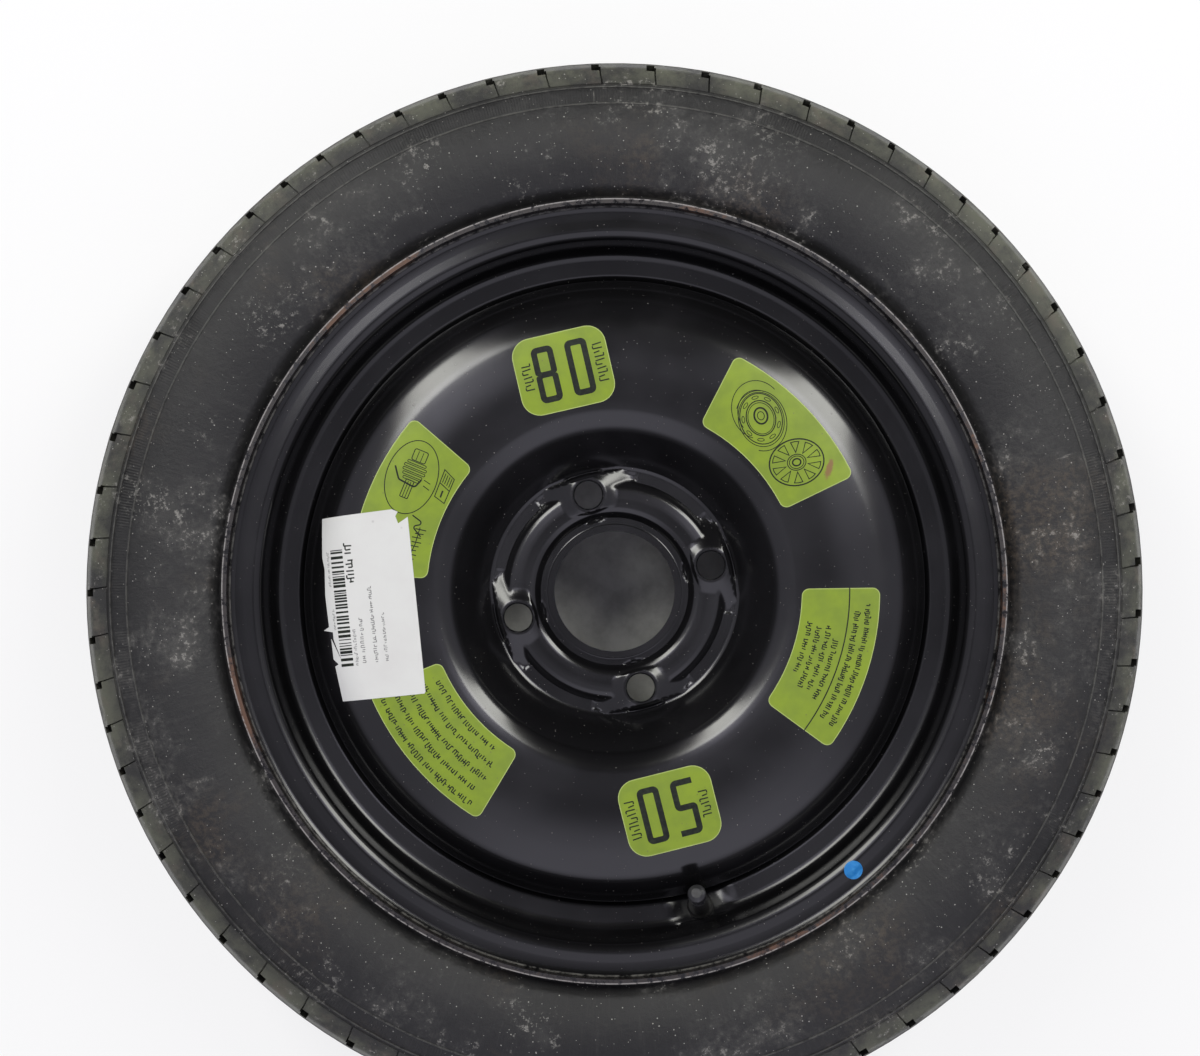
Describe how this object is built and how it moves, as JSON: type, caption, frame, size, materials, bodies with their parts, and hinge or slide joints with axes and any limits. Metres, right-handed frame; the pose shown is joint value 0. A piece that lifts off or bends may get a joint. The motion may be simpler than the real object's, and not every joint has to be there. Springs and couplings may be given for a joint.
{
  "type": "spare wheel",
  "caption": "Narrow pressed-steel spare wheel with a domed disc, four bolt seats, a rolled drop-centre rim, its tyre, a snap-in valve with core and cap, and flat stickers.",
  "frame": {"origin": "on the wheel's axis, in the plane of the hub face", "axes": "+Z along the wheel's axis towards its outer side, +X through a bolt hole, the valve on -Y"},
  "size_m": [0.5698, 0.5698, 0.1338],
  "materials": {
    "tyre_rubber": "dusty matt rubber with scuffs and dirt",
    "wheel_paint": "satin-gloss black paint, rust at the flange edge",
    "weld_bead": "painted weld bead",
    "valve_rubber": "moulded satin rubber",
    "valve_brass": "turned brass",
    "core_steel": "plated steel",
    "seal_rubber": "matt seal",
    "cap_plastic": "moulded black plastic",
    "green_sticker": "printed film",
    "white_paper": "matt paper",
    "blue_paint": "matt paint spot"
  },
  "bodies": {
    "wheel": {"tyre": "tyre_rubber", "rim": "wheel_paint", "wheel_disc": "wheel_paint", "disc_welds": "weld_bead", "valve_body": "valve_rubber", "valve_stem": "valve_brass", "core_barrel": "valve_brass", "core_barrel_seal": "seal_rubber", "core_spring": "core_steel", "number_sticker_high": "green_sticker", "number_sticker_low": "green_sticker", "wheel_sticker": "green_sticker", "tool_sticker": "green_sticker", "text_sticker": "green_sticker", "two_part_sticker": "green_sticker", "paper_label": "white_paper", "paint_dot": "blue_paint"},
    "pin": {"core_pin": "core_steel", "core_cup_seal": "seal_rubber"},
    "cap_seal": {"valve_cap_seal": "seal_rubber"},
    "cap": {"valve_cap": "cap_plastic"}
  },
  "joints": [
    {"name": "pin_press", "type": "slide", "parent": "wheel", "child": "pin", "axis": [0, -0.309, -0.9511], "range_m": [0, 0.0015], "stiffness_N_per_m": 300, "deforming": ["core_spring"]},
    {"name": "cap_rise", "type": "slide", "parent": "wheel", "child": "cap_seal", "axis": [0, 0.309, 0.9511], "range_m": [0, 0.00873]},
    {"name": "cap_turn", "type": "hinge", "parent": "cap_seal", "child": "cap", "pos_m": [0, -0.1778, -0.001], "axis": [0, 0.309, 0.9511], "range_deg": [0, 3961]}
  ],
  "couplings": [
    {"joint": "cap_turn", "follows": "cap_rise", "rad_per_m": 7913.3}
  ]
}
